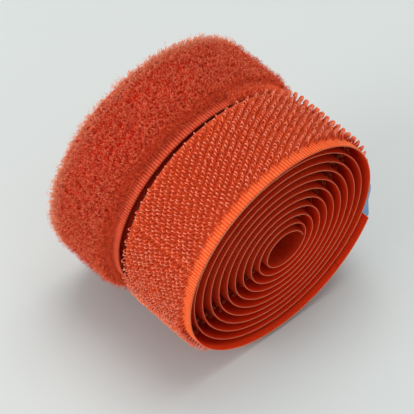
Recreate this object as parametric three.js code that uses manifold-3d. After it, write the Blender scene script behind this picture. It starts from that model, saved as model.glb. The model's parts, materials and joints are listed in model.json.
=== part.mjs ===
// A pair of hook and loop tape rolls, lying side by side on their rims.
// The front roll is the hook tape with its hooks outwards, the rear roll is the loop tape with its
// pile outwards. Both are wound without a core, and their shared axis runs along Y.
// Seen along +Y each tape winds anticlockwise from its eye to a free end low on the right.
// A short film seals the free end of the hook tape to the turn beneath it.
// Millimetres, +Z up, standing on Z = 0, centred on the origin in X and Y.

import * as THREE from 'three';
import { mergeGeometries, mergeVertices } from 'three/addons/utils/BufferGeometryUtils.js';
import Module from 'manifold-3d';

const wasm = await Module();
wasm.setup();

// The tape and its winding
const TAPE_WIDTH = 20;
const WEB_THICKNESS = 0.4;
const EYE_RADIUS = 3.95;
const HOOK_PITCH = 2.17;
const LOOP_PITCH = 2.08;
const HOOK_END_DRAW = 0.28;
const LOOP_END_DRAW = 0.2;
const TURNS = 10.93;
const INNER_END_ANGLE = 5;
const EYE_SHIFT_X = 1.36;
const EYE_SHIFT_Z = -1.88;
const INNER_END_SPRING = 0.9;
const INNER_END_TURNS = 0.2;

// The free end of each tape, from where it bends away to where it was cut
const TAIL_LENGTH = 11.7;
const BEND_ROOM = 1.2;

// The hooks, a coarse pattern of the real ones, on a slice of the web's face
const HOOK_HEIGHT = 1.7;
const HOOK_RADIUS = 0.26;
const HOOK_REACH = 1.05;
const HOOK_DROP = 0.6;
const HOOK_ROW_PITCH = 3.06;
const HOOK_COLUMN_PITCH = 2.7;
const HOOK_BACKING = 0.36;
const HOOK_FRONT_SELVEDGE = 2.4;
const HOOK_REAR_SELVEDGE = 1.2;
const HOOK_FIELD_COUNT = 3;

// The loop pile, standing free round the outer turn and pressed flat under the free end
const PILE_HEIGHT = 2.9;
const PILE_FRONT_SELVEDGE = 1.8;
const PILE_REAR_SELVEDGE = 0.8;
const PILE_RISE_LENGTH = 3;

// The film that seals the hook tape's free end
const SEAL_WIDTH = 16.8;
const SEAL_THICKNESS = 0.25;
const SEAL_LAP_ON_TAIL = 8;
const SEAL_BRIDGE = 5;
const SEAL_LAP_ON_ROLL = 3.4;
const SEAL_STEP = 2;

// How the rolls lie: the hook roll's faces lean, its outer turn has slipped forward towards the free
// end, and the loop roll stands a little to the left
const LEAN_SLOPE = 0.025;
const LEAN_ANGLE = 178;
const END_SLIP = 1.55;
const END_SLIP_TURNS = 1.56;
const ROLL_GAP = 0.3;
const LOOP_SHIFT = 0.98;
const FLAT_DEPTH = 0.5;

// The clearance between pieces, and how far a facet may cut inside its curve
const SEAT_GAP = 0.3;
const FACET_DEPTH = 0.25;

const WEB_FACE = WEB_THICKNESS / 2;
const SEAT = WEB_FACE + SEAT_GAP;
const HOOK_TIP = WEB_FACE + HOOK_HEIGHT;
const PILE_TIP = WEB_FACE + PILE_HEIGHT;

// A wound tape. The centre line of its web is an even spiral about an eye that lies a little off the
// roll's axis, with the inner end sprung out against the next turn, and the outer turn drawn in
// towards the free end.
class Winding {
  constructor({ pitch, endDraw, leanSlope = 0, endSlip = 0 }) {
    this.pitch = pitch;
    this.endDraw = endDraw;
    this.leanSlope = leanSlope;
    this.endSlip = endSlip;
    this.tailRoot = TURNS - this.along(TURNS, TAIL_LENGTH);
    this.rootGap = this.along(this.tailRoot, SEAT_GAP) / 2;
    this.rootRoom = this.along(this.tailRoot, BEND_ROOM);
    this.uncovered = TURNS - 1 + this.along(TURNS - 1, BEND_ROOM);
    this.stations = this.facetCorners();
  }

  point(turn) {
    const angle = THREE.MathUtils.degToRad(INNER_END_ANGLE) + turn * 2 * Math.PI;
    const spring = Math.max(0, 1 - turn / INNER_END_TURNS);
    const drawn = Math.max(0, turn - (TURNS - 1));
    const radius = EYE_RADIUS + this.pitch * turn
      + INNER_END_SPRING * spring * spring - this.endDraw * drawn * drawn;
    const drift = 1 - turn / TURNS;
    return new THREE.Vector2(
      radius * Math.cos(angle) + EYE_SHIFT_X * drift,
      radius * Math.sin(angle) + EYE_SHIFT_Z * drift,
    );
  }

  tangent(turn) {
    const reach = 1e-4;
    return this.point(turn + reach).sub(this.point(turn - reach)).normalize();
  }

  normal(turn) {
    const tangent = this.tangent(turn);
    return new THREE.Vector2(tangent.y, -tangent.x);
  }

  // The point at a height above the web's centre line, towards the outside of the roll.
  raised(turn, height) {
    return this.point(turn).addScaledVector(this.normal(turn), height);
  }

  // How far the tape has moved along the axis: by the lean of the roll, and by the slip of its end.
  shift(turn) {
    const leaning = THREE.MathUtils.degToRad(LEAN_ANGLE);
    const { x, y } = this.point(turn);
    const slipped = THREE.MathUtils.smoothstep(turn, TURNS - END_SLIP_TURNS, TURNS);
    return this.leanSlope * (Math.cos(leaning) * x + Math.sin(leaning) * y) - this.endSlip * slipped;
  }

  // How many turns a length of tape takes up.
  along(turn, length) {
    return length / (2 * Math.PI * this.point(turn).length());
  }

  // Facet corners that all strips of a winding share, so that neighbouring strips stay parallel.
  facetCorners() {
    const corners = [0];
    let turn = 0;
    while (turn < TURNS) {
      turn += Math.acos(1 - FACET_DEPTH / this.point(turn).length()) / Math.PI;
      corners.push(turn);
    }
    return corners;
  }

  stationsBetween(from, to) {
    const least = (this.stations.at(-1) - this.stations.at(-2)) / 20;
    const inside = this.stations.filter((turn) => turn > from + least && turn < to - least);
    return [from, ...inside, to];
  }

  // A strip's corners between two heights above the web's centre line.
  sections(from, to, innerHeight, outerHeight) {
    return this.stationsBetween(from, to).map((turn) => ({
      turn,
      shift: this.shift(turn),
      inner: this.raised(turn, innerHeight),
      outer: this.raised(turn, outerHeight(turn)),
    }));
  }

  webSections(from, to) {
    return this.sections(from, to, -WEB_FACE, () => WEB_FACE);
  }

  // The level of the surface under the roll: the lowest tip on the outer turn, less the flat.
  floorLevel(tipHeight) {
    let lowest = 0;
    for (const turn of this.stationsBetween(TURNS - 1, TURNS)) {
      lowest = Math.min(lowest, this.raised(turn, tipHeight).y);
    }
    return lowest + FLAT_DEPTH;
  }
}

const hookTape = new Winding({
  pitch: HOOK_PITCH,
  endDraw: HOOK_END_DRAW,
  leanSlope: LEAN_SLOPE,
  endSlip: END_SLIP,
});
const loopTape = new Winding({ pitch: LOOP_PITCH, endDraw: LOOP_END_DRAW });
const HOOK_FLOOR = hookTape.floorLevel(HOOK_TIP);
const PILE_FLOOR = loopTape.floorLevel(PILE_TIP);

// A closed strip with a rectangular section, given its corners and its shift at each station.
function stripGeometry(sections, front, rear) {
  const positions = [];
  for (const { inner, outer, shift } of sections) {
    positions.push(inner.x, front + shift, inner.y);
    positions.push(outer.x, front + shift, outer.y);
    positions.push(outer.x, rear + shift, outer.y);
    positions.push(inner.x, rear + shift, inner.y);
  }
  const index = [0, 2, 1, 0, 3, 2];
  for (let i = 0; i + 1 < sections.length; i += 1) {
    for (let corner = 0; corner < 4; corner += 1) {
      const a = 4 * i + corner;
      const b = 4 * i + (corner + 1) % 4;
      index.push(a, b + 4, a + 4, a, b, b + 4);
    }
  }
  const last = 4 * (sections.length - 1);
  index.push(last, last + 1, last + 2, last, last + 2, last + 3);
  const geometry = new THREE.BufferGeometry();
  geometry.setAttribute('position', new THREE.Float32BufferAttribute(positions, 3));
  geometry.setIndex(index);
  return geometry;
}

// The least distance from a strip's outer face to its inner face on later turns, on facet points.
function leastGapToItself(sections) {
  const points = [];
  sections.forEach((section, i) => {
    points.push(section);
    const next = sections[i + 1];
    if (next) {
      const middle = (a, b) => a.clone().add(b).multiplyScalar(0.5);
      points.push({
        turn: (section.turn + next.turn) / 2,
        inner: middle(section.inner, next.inner),
        outer: middle(section.outer, next.outer),
      });
    }
  });
  let least = Infinity;
  for (const a of points) {
    for (const b of points) {
      if (b.turn - a.turn > 0.5) {
        least = Math.min(least, a.outer.distanceTo(b.inner));
      }
    }
  }
  return least;
}

// Joining and cutting of closed solids.
function toSolid(geometry) {
  const merged = mergeVertices(geometry, 1e-6);
  return new wasm.Manifold(new wasm.Mesh({
    numProp: 3,
    vertProperties: new Float32Array(merged.attributes.position.array),
    triVerts: new Uint32Array(merged.index.array),
  }));
}

function toGeometry(solid) {
  const mesh = solid.getMesh();
  const geometry = new THREE.BufferGeometry();
  geometry.setAttribute('position', new THREE.BufferAttribute(mesh.vertProperties, 3));
  geometry.setIndex(new THREE.BufferAttribute(mesh.triVerts, 1));
  return geometry;
}

// Everything below the floor is pressed away, which leaves the roll standing on a flat.
function cutFlat(solid, level) {
  const span = 4 * (hookTape.point(TURNS).length() + loopTape.point(TURNS).length() + PILE_TIP + HOOK_TIP);
  const ground = new THREE.BoxGeometry(span, span, span);
  ground.deleteAttribute('normal');
  ground.deleteAttribute('uv');
  ground.translate(0, 0, level - span / 2);
  return solid.subtract(toSolid(ground));
}

// One hook: a three-sided stem that folds over at its shoulder into a pointed beak.
// Hooks under the roll are pressed upright and blunt instead.
function hookGeometry(turn, y, side) {
  const normal = hookTape.normal(turn);
  const tangent = hookTape.tangent(turn).multiplyScalar(side);
  const foot = hookTape.raised(turn, SEAT + (HOOK_BACKING - FACET_DEPTH) / 2);
  const blunt = hookTape.raised(turn, HOOK_TIP).y < HOOK_FLOOR + HOOK_RADIUS;
  const fold = new THREE.Vector2(HOOK_REACH, -HOOK_DROP).normalize();
  const bisector = new THREE.Vector2(1 + fold.y, -fold.x).normalize();
  const shoulder = hookTape.raised(turn, blunt ? HOOK_TIP : HOOK_TIP + HOOK_RADIUS * bisector.y);
  const across = blunt
    ? tangent
    : tangent.clone().multiplyScalar(bisector.x).addScaledVector(normal, bisector.y);
  const positions = [];
  const ring = (centre, direction) => {
    for (const corner of [Math.PI, Math.PI / 3, -Math.PI / 3]) {
      const along = HOOK_RADIUS * Math.cos(corner);
      const offset = direction.clone().multiplyScalar(along);
      positions.push(centre.x + offset.x, y + side * HOOK_RADIUS * Math.sin(corner), centre.y + offset.y);
    }
  };
  ring(foot, tangent);
  ring(shoulder, across);
  const index = [0, 2, 1];
  for (let corner = 0; corner < 3; corner += 1) {
    const next = (corner + 1) % 3;
    index.push(corner, next, next + 3, corner, next + 3, corner + 3);
  }
  if (blunt) {
    index.push(3, 4, 5);
  } else {
    const beak = shoulder.clone().addScaledVector(tangent, HOOK_REACH).addScaledVector(normal, -HOOK_DROP);
    positions.push(beak.x, y, beak.y);
    index.push(3, 4, 6, 4, 5, 6, 5, 3, 6);
  }
  const geometry = new THREE.BufferGeometry();
  geometry.setAttribute('position', new THREE.Float32BufferAttribute(positions, 3));
  geometry.setIndex(index);
  return geometry;
}

// A field of hooks in staggered rows, fused to a slice of their backing.
function hookFieldGeometry(from, to) {
  const front = -TAPE_WIDTH / 2 + HOOK_FRONT_SELVEDGE;
  const rear = TAPE_WIDTH / 2 - HOOK_REAR_SELVEDGE;
  const length = (to - from) / hookTape.along((from + to) / 2, 1);
  const edge = HOOK_REACH + HOOK_RADIUS;
  const rows = Math.max(1, 1 + Math.floor((length - 2 * edge) / HOOK_ROW_PITCH));
  const columns = Math.max(1, Math.floor((rear - front) / HOOK_COLUMN_PITCH));
  const hooks = [];
  for (let row = 0; row < rows; row += 1) {
    const turn = (from + to) / 2 + hookTape.along((from + to) / 2, (row - (rows - 1) / 2) * HOOK_ROW_PITCH);
    const side = row % 2 === 0 ? 1 : -1;
    for (let column = 0; column < columns; column += 1) {
      const y = (front + rear) / 2 + (column - (columns - 1) / 2 + side / 4) * HOOK_COLUMN_PITCH;
      hooks.push(hookGeometry(turn, y + hookTape.shift(turn), side));
    }
  }
  const backing = stripGeometry(
    hookTape.sections(from, to, SEAT, () => SEAT + HOOK_BACKING),
    front,
    rear,
  );
  const field = toSolid(backing).add(toSolid(mergeGeometries(hooks)));
  return { geometry: toGeometry(cutFlat(field, HOOK_FLOOR)), count: hooks.length };
}

// The pile's outer face: pressed by the free end that covers it, and risen where nothing does.
function pileHeight(turn) {
  const drift = Math.hypot(EYE_SHIFT_X, EYE_SHIFT_Z) / TURNS;
  const pressed = LOOP_PITCH - LOOP_END_DRAW - WEB_FACE - SEAT_GAP - FACET_DEPTH - drift;
  const rise = loopTape.along(loopTape.uncovered, PILE_RISE_LENGTH);
  return THREE.MathUtils.mapLinear(
    THREE.MathUtils.clamp(turn, loopTape.uncovered, loopTape.uncovered + rise),
    loopTape.uncovered,
    loopTape.uncovered + rise,
    pressed,
    PILE_TIP,
  );
}

function pileSections(from, to) {
  return loopTape.sections(from, to, SEAT, pileHeight);
}

function pileGeometry(sections) {
  const front = -TAPE_WIDTH / 2 + PILE_FRONT_SELVEDGE;
  const rear = TAPE_WIDTH / 2 - PILE_REAR_SELVEDGE;
  const pile = toSolid(stripGeometry(sections, front, rear));
  return toGeometry(cutFlat(pile, PILE_FLOOR));
}

// The seal runs over the tips of the tail's hooks, straight across the step at the tape's end,
// and on over the hooks of the turn beneath.
function sealGeometry() {
  const lift = HOOK_TIP + SEAT_GAP;
  const landing = TURNS - 1 + hookTape.along(TURNS - 1, SEAL_BRIDGE);
  const turns = [];
  const lay = (from, length) => {
    const steps = Math.max(1, Math.round(length / SEAL_STEP));
    for (let step = 0; step <= steps; step += 1) {
      turns.push(from + hookTape.along(from, length * step / steps));
    }
  };
  lay(TURNS - hookTape.along(TURNS, SEAL_LAP_ON_TAIL), SEAL_LAP_ON_TAIL);
  lay(landing, SEAL_LAP_ON_ROLL);
  const sections = turns.map((turn) => ({
    shift: hookTape.shift(TURNS),
    inner: hookTape.raised(turn, lift),
    outer: hookTape.raised(turn, lift + SEAL_THICKNESS),
  }));
  return stripGeometry(sections, -SEAL_WIDTH / 2, SEAL_WIDTH / 2);
}

const HOOK_NYLON = { color: 0xd9573d, roughness: 0.55, metalness: 0 };
const HOOK_FILAMENT = { color: 0xe98a72, roughness: 0.35, metalness: 0 };
const LOOP_NYLON = { color: 0xd5543b, roughness: 0.65, metalness: 0 };
const LOOP_PILE = { color: 0xc84a36, roughness: 0.9, metalness: 0 };
const SEAL_FILM = { color: 0x6fa3cb, roughness: 0.25, metalness: 0 };

function addPiece(group, name, geometry, finish) {
  const flat = geometry.toNonIndexed();
  flat.computeVertexNormals();
  const mesh = new THREE.Mesh(flat, new THREE.MeshStandardMaterial(finish));
  mesh.name = name;
  group.add(mesh);
}

const TAPE_FRONT = -TAPE_WIDTH / 2;
const TAPE_REAR = TAPE_WIDTH / 2;

// The web of a tape in two strips: the wound roll, and the free end from where it bends away.
function webStrips(tape) {
  const rollWeb = tape.webSections(0, tape.tailRoot - tape.rootGap);
  const tailWeb = tape.webSections(tape.tailRoot + tape.rootGap, TURNS);
  return {
    roll: stripGeometry(rollWeb, TAPE_FRONT, TAPE_REAR),
    tail: stripGeometry(tailWeb, TAPE_FRONT, TAPE_REAR),
    gap: leastGapToItself(rollWeb),
  };
}

function buildHookRoll() {
  const roll = new THREE.Group();
  const web = webStrips(hookTape);
  console.log(`web of the hook tape, least gap to itself: ${web.gap.toFixed(2)} mm`);
  addPiece(roll, 'hook_web', web.roll, HOOK_NYLON);
  const span = (hookTape.tailRoot - hookTape.rootRoom - hookTape.uncovered) / HOOK_FIELD_COUNT;
  const joint = hookTape.along(TURNS, SEAT_GAP) / 2;
  let hooks = 0;
  for (let field = 0; field < HOOK_FIELD_COUNT; field += 1) {
    const start = hookTape.uncovered + field * span;
    const { geometry, count } = hookFieldGeometry(start + joint, start + span - joint);
    addPiece(roll, `hook_field_${field + 1}`, geometry, HOOK_FILAMENT);
    hooks += count;
  }
  addPiece(roll, 'hook_tail_web', web.tail, HOOK_NYLON);
  const tailHooks = hookFieldGeometry(hookTape.tailRoot + hookTape.rootRoom, TURNS - joint);
  addPiece(roll, 'hook_tail_hooks', tailHooks.geometry, HOOK_FILAMENT);
  addPiece(roll, 'end_seal', sealGeometry(), SEAL_FILM);
  console.log(`hooks in all: ${hooks + tailHooks.count}`);
  const rearmost = Math.max(...hookTape.stations.map((turn) => hookTape.shift(turn)));
  roll.position.set(0, TAPE_FRONT - ROLL_GAP - rearmost, -HOOK_FLOOR);
  return roll;
}

function buildLoopRoll() {
  const roll = new THREE.Group();
  const web = webStrips(loopTape);
  console.log(`web of the loop tape, least gap to itself: ${web.gap.toFixed(2)} mm`);
  addPiece(roll, 'loop_web', web.roll, LOOP_NYLON);
  const pileStart = loopTape.tailRoot - 1 + loopTape.rootRoom;
  const rollPile = pileSections(pileStart, loopTape.tailRoot - loopTape.rootRoom);
  addPiece(roll, 'loop_pile', pileGeometry(rollPile), LOOP_PILE);
  addPiece(roll, 'loop_tail_web', web.tail, LOOP_NYLON);
  const tailPile = pileSections(loopTape.tailRoot + loopTape.rootRoom, TURNS);
  addPiece(roll, 'loop_tail_pile', pileGeometry(tailPile), LOOP_PILE);
  roll.position.set(-LOOP_SHIFT, TAPE_REAR, -PILE_FLOOR);
  return roll;
}

const hookRoll = buildHookRoll();
const loopRoll = buildLoopRoll();
const pair = new THREE.Group();
pair.add(hookRoll, loopRoll);

const box = new THREE.Box3().setFromObject(pair, true);
const centre = box.getCenter(new THREE.Vector3());
pair.position.set(-centre.x, -centre.y, 0);

// The lines about which the free ends and the seal lift, all along Y, and the eyes' axes.
function onRoll(roll, point) {
  return new THREE.Vector3(point.x, 0, point.y).add(roll.position).add(pair.position);
}

const sealRoot = TURNS - hookTape.along(TURNS, SEAL_LAP_ON_TAIL);
pair.userData.lines = {
  hook_tail_lift: onRoll(hookRoll, hookTape.raised(hookTape.tailRoot, WEB_FACE)),
  seal_peel: onRoll(hookRoll, hookTape.raised(sealRoot, HOOK_TIP + SEAT_GAP + SEAL_THICKNESS)),
  loop_tail_lift: onRoll(loopRoll, loopTape.raised(loopTape.tailRoot, WEB_FACE)),
  hook_eye: onRoll(hookRoll, new THREE.Vector2(EYE_SHIFT_X, EYE_SHIFT_Z)),
  loop_eye: onRoll(loopRoll, new THREE.Vector2(EYE_SHIFT_X, EYE_SHIFT_Z)),
};

export default pair;
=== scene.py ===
"""The looks of a pair of hook and loop tape rolls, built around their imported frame."""

import json
import math

import bpy
import numpy as np
from bpy.props import FloatProperty, FloatVectorProperty, IntProperty, PointerProperty
from mathutils import Matrix, Vector


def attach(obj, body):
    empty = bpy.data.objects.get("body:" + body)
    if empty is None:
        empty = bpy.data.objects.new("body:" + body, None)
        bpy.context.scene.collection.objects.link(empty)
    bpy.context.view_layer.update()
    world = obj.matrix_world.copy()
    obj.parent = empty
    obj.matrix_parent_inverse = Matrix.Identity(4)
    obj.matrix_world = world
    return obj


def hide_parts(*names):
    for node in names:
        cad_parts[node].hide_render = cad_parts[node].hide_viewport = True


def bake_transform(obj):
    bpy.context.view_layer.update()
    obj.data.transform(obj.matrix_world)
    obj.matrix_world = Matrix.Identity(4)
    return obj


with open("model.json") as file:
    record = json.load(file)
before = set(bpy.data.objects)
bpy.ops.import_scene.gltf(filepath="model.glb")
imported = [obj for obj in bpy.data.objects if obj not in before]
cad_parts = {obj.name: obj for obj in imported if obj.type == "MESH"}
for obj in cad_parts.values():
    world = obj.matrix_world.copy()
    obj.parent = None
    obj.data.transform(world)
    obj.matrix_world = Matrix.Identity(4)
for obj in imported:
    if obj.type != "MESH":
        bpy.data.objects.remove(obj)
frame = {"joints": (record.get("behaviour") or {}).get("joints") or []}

bl_info = {
    "name": "Hook and loop tape rolls",
    "version": (1, 0, 0),
    "blender": (4, 5, 0),
    "location": "3D View > Sidebar > Tape rolls",
    "description": "Wound webs, hooks, pile, end seal and studio for a pair of tape rolls",
    "category": "Object",
}

MM = 0.001
PATH_POINTS = 4000
# What is added to a piece's seed for each further random draw
ACROSS_SEED, LUCK_SEED, SWING_SEED, TONE_SEED = 1000.0, 2000.0, 3000.0, 4000.0
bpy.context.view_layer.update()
HINGES = {joint["name"]: Vector(joint["pos_m"]) for joint in frame["joints"] if "pos_m" in joint}


def linear(code):
    """The linear colour of an sRGB hex value such as #E8592F."""
    shares = [int(code[i:i + 2], 16) / 255 for i in (1, 3, 5)]
    return [s / 12.92 if s <= 0.04045 else ((s + 0.055) / 1.055) ** 2.4 for s in shares]


def length(name, description, millimetres):
    """A length that a user can change, given in millimetres."""
    return FloatProperty(
        name=name, description=description, default=millimetres * MM, unit="LENGTH", precision=5)


def position(name, description, metres):
    """A place that a user can change, given in metres."""
    return FloatVectorProperty(
        name=name, description=description, default=metres, subtype="TRANSLATION", unit="LENGTH")


def angle(name, description, degrees):
    """An angle that a user can change, given in degrees."""
    return FloatProperty(
        name=name, description=description, default=math.radians(degrees), subtype="ANGLE")


def number(name, description, value, unit="NONE"):
    """A number that a user can change."""
    return FloatProperty(name=name, description=description, default=value, unit=unit)


def amount(name, description, value):
    """A count that a user can change."""
    return IntProperty(name=name, description=description, default=value)


def colour(name, description, code):
    """A colour that a user can change, given as an sRGB hex value."""
    return FloatVectorProperty(name=name, description=description, default=linear(code), subtype="COLOR")


class TapeSizes(bpy.types.PropertyGroup):
    """What both tapes share."""

    width: length("Width", "Across the tape, from selvedge to selvedge", 20)
    web_thickness: length("Web thickness", "Through the woven web", 0.4)
    eye_radius: length("Eye radius", "From the eye's centre to the innermost turn", 3.95)
    turns: number("Turns", "Turns of tape on a roll", 10.93)
    inner_end_angle: angle("Inner end", "Where the tape starts in the eye", 5)
    inner_end_spring: length("Inner end spring", "How far the inner end stands out", 1.3)
    inner_end_turns: number("Sprung turns", "How much of a turn is sprung", 0.2)
    eye_shift_x: length("Eye shift X", "How far the eye lies right of the roll's axis", 1.36)
    eye_shift_z: length("Eye shift Z", "How far the eye lies above the roll's axis", -1.88)
    tail_length: length("Tail length", "From where the free end bends away to its cut", 11.7)
    bend_before: length("Bend before", "Tape that starts to bend before the free end's hinge", 2)
    bend_after: length("Bend after", "Tape that still bends past the free end's hinge", 4)
    step_clearance: length("Step clearance", "Bare tape past the step under the tape's end", 1.2)
    rib_depth: length("Rib depth", "How far a weft rib stands out", 0.05)
    yarn_pitch: length("Yarn pitch", "From one warp yarn of the web to the next", 0.42)


class HookSizes(bpy.types.PropertyGroup):
    """The hook roll."""

    pitch: length("Pitch", "From one turn to the next", 2.17)
    end_draw: length("End draw", "How far the outer turn is drawn in at its end", 0.28)
    lean_slope: number("Lean", "How steeply the roll's faces lean", 0.025)
    lean_angle: angle("Lean angle", "Which side leans back", 178)
    end_slip: length("End slip", "How far the free end has slipped forward off the roll", 1.55)
    end_slip_turns: number("Slipped turns", "Turns over which the end slips", 1.56)
    height: length("Hook height", "From the web's face to the top of a hook", 1.7)
    inner_height: length("Pressed hook height", "Hooks between the turns", 1.4)
    reach: length("Hook reach", "Across the arch of a hook", 0.7)
    filament: length("Filament", "Thickness of the hooks' monofilament", 0.22)
    row_pitch: length("Row pitch", "From one row of hooks to the next, along the tape", 0.7)
    inner_row_pitch: length("Inner row pitch", "The same between the turns, where few rows show", 2.1)
    column_pitch: length("Column pitch", "From one hook to the next in a row", 1.56)
    front_selvedge: length("Front selvedge", "Bare web before the first hooks", 2.3)
    rear_selvedge: length("Rear selvedge", "Bare web behind the last hooks", 1.1)
    rib_pitch: length("Rib pitch", "From one weft rib of the web to the next", 0.7)


class LoopSizes(bpy.types.PropertyGroup):
    """The loop roll."""

    pitch: length("Pitch", "From one turn to the next", 2.08)
    lean_slope: number("Lean", "How steeply the roll's faces lean", 0.04)
    lean_angle: angle("Lean angle", "Which side leans back", -120)
    end_slip: length("End slip", "How far the free end has slipped forward off the roll", 0)
    end_slip_turns: number("Slipped turns", "Turns over which the end slips", 1)
    end_draw: length("End draw", "How far the outer turn is drawn in at its end", 0.2)
    height: length("Pile height", "From the web's face to the tops of the loops", 2.9)
    mat_height: length("Mat height", "From the web's face to where the loops lie tangled", 2.2)
    pressed_height: length("Pressed height", "Pile between the turns", 1.3)
    caught_height: length("Caught height", "How far the caught loops stand out", 1.5)
    fringe_height: length("Fringe height", "How far the loops along the front stand out", 1.1)
    hair_height: length("Hair height", "How far the stray hairs stand out of the mat", 1.5)
    flattened_height: length("Flattened height", "How far the loops under the free end stand out", 0.6)
    fibre: length("Fibre", "Thickness of a bundle of pile fibres, drawn coarse enough to show", 0.095)
    curl: length("Curl", "Across a loop of the pile", 0.5)
    front_selvedge: length("Front selvedge", "Bare web before the pile", 1.6)
    thin_front: length("Thin front", "Where the pile is too thin to tangle", 1.2)
    rear_selvedge: length("Rear selvedge", "From the last loops' roots to the tape's edge", 0.9)
    rib_pitch: length("Rib pitch", "From one weft rib of the web to the next", 0.65)
    caught: amount("Caught fibres", "Loops that the hooks draw over the selvedge", 2200)
    fringe: amount("Fringe", "Loops along the front of the pile", 4000)
    flattened: amount("Flattened", "Loops that the free end lies on", 1500)
    hairs: amount("Hairs", "Stray hairs that stand out of the pile", 6000)
    hair: length("Hair", "Thickness of a stray hair", 0.05)
    fibres_per_piece: amount("Fibres", "Loops in each piece of the pile", 5500)
    pieces: amount("Pieces", "Pieces that share the outer turn's pile", 6)


class SealSizes(bpy.types.PropertyGroup):
    """The film that seals the hook tape's free end."""

    width: length("Width", "Along the roll's axis", 17.6)
    thickness: length("Thickness", "Through the film", 0.2)
    clearance: length("Clearance", "From the hooks to the film", 0.6)
    sag: length("Sag", "How far the film's edges come down beside the hooks", 1.4)
    lap_on_tail: length("Lap on tail", "Film stuck to the free end", 8)
    bridge: length("Bridge", "Film across the step at the tape's end", 5)
    lap_on_roll: length("Lap on roll", "Film stuck to the turn beneath", 3.4)


class Finishes(bpy.types.PropertyGroup):
    """The colours of the materials."""

    # Painted light and shade on the webs: rib crowns lighter and grooves darker, as light falls on the
    # weave; the loop tape's ribs are darker all over, painted shade from the pile over its selvedge
    hook_rib_crown: colour("Hook rib crown", "Hook tape's web where a rib stands out", "#FF7440")
    hook_rib_groove: colour("Hook rib groove", "Hook tape's web between two ribs", "#CC3C12")
    loop_rib_crown: colour("Loop rib crown", "Loop tape's web where a rib stands out", "#DC5C3C")
    loop_rib_groove: colour("Loop rib groove", "Loop tape's web between two ribs", "#9C2810")
    # Painted shade and red bounce light: the web's back, which looks into the roll, a deeper red than
    # its outer face
    shaded_web_back: colour("Web back", "Face of the web that looks into the roll", "#E03009")
    # Painted shade in the narrow gaps between the inner turns
    wound: colour("Wound web", "Outer face of the web between the turns", "#B01F07")
    # Painted shade down in the eye, on the innermost turn
    eye: colour("Eye", "Innermost turn, worn and dusty", "#AA2A10")
    # Painted shade that the hooks cast on the web among their roots
    shaded_ground: colour("Ground", "Web under the hooks, where their roots take up the weave", "#AC2E0F")
    # Painted highlight along the web's edges
    selvedge: colour("Selvedge", "Web at its edges", "#FF967A")
    # Painted shade at the hooks' roots; the crown colours that follow are lighter, a painted highlight,
    # with random tones of their own
    filament_root_shade: colour("Filament root", "Hooks down at the web", "#B83212")
    filament: colour("Filament", "Crowns of the hooks", "#F8744C")
    filament_pale: colour("Pale filament", "Crowns that caught less dye", "#FF9676")
    # Painted light and shade of the pile: its tops pale, its deep loops dark red
    pile: colour("Pile", "Tops of the pile's loops", "#FF8860")
    pile_deep_shade: colour("Deep pile", "Loops that lie deep in the pile", "#CC1D05")
    # Painted light: a pale rim along the pile's rear edge
    pile_rim_light: colour("Thin pile", "Loops along the rear edge, where light passes the pile", "#FFA880")
    # Painted light: a brighter orange on the shaded front of the pile
    pile_front_light: colour("Pile front", "Loops along the front, where the web shows through", "#FF683C")
    film: colour("Film", "Seal at the tape's end", "#CBE7FF")
    floor: colour("Floor", "Paper that the rolls lie on", "#CCD1D0")
    sky: colour("Sky", "Light from all round", "#F1F5F6")


class StageSizes(bpy.types.PropertyGroup):
    """The camera and the lamps."""

    azimuth: angle("Azimuth", "Which way the camera looks", -45.353)
    elevation: angle("Elevation", "Camera above the horizon", 49.715)
    roll: angle("Roll", "Camera about its own view", -2.748)
    distance: length("Distance", "From the camera to its target", 428.7)
    target_x: length("Target X", "What the camera looks at", -2.523)
    target_z: length("Target Z", "What the camera looks at", 26.497)
    focal_length: number("Lens", "Focal length in millimetres", 173.14, "CAMERA")
    floor_size: length("Floor", "Side of the square floor", 3000)
    lamp_power: number("Lamp", "Power of the large lamp", 8.5, "POWER")
    lamp_place: position("Lamp place", "Where the large lamp hangs", (0.22, 0.14, 1.2))
    lamp_side: length("Lamp side", "Side of the large square lamp", 800)
    fill_power: number("Fill", "Power of the left lamp", 2.6, "POWER")
    fill_place: position("Fill place", "Where the left lamp stands", (-0.6, 0.16, 0.2))
    fill_side: length("Fill side", "Side of the left square lamp", 400)
    sky_strength: number("Sky", "Strength of the light from all round", 0.62)


class TapeRolls(bpy.types.PropertyGroup):
    """Everything that a user would change."""

    tape: PointerProperty(type=TapeSizes, name="Tape", description="What both tapes share")
    hook: PointerProperty(type=HookSizes, name="Hook roll", description="The hook roll's sizes")
    loop: PointerProperty(type=LoopSizes, name="Loop roll", description="The loop roll's sizes")
    seal: PointerProperty(type=SealSizes, name="End seal", description="The film's sizes")
    finish: PointerProperty(type=Finishes, name="Finishes", description="The colours of the materials")
    stage: PointerProperty(type=StageSizes, name="Stage", description="The camera and the lamps")


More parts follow.
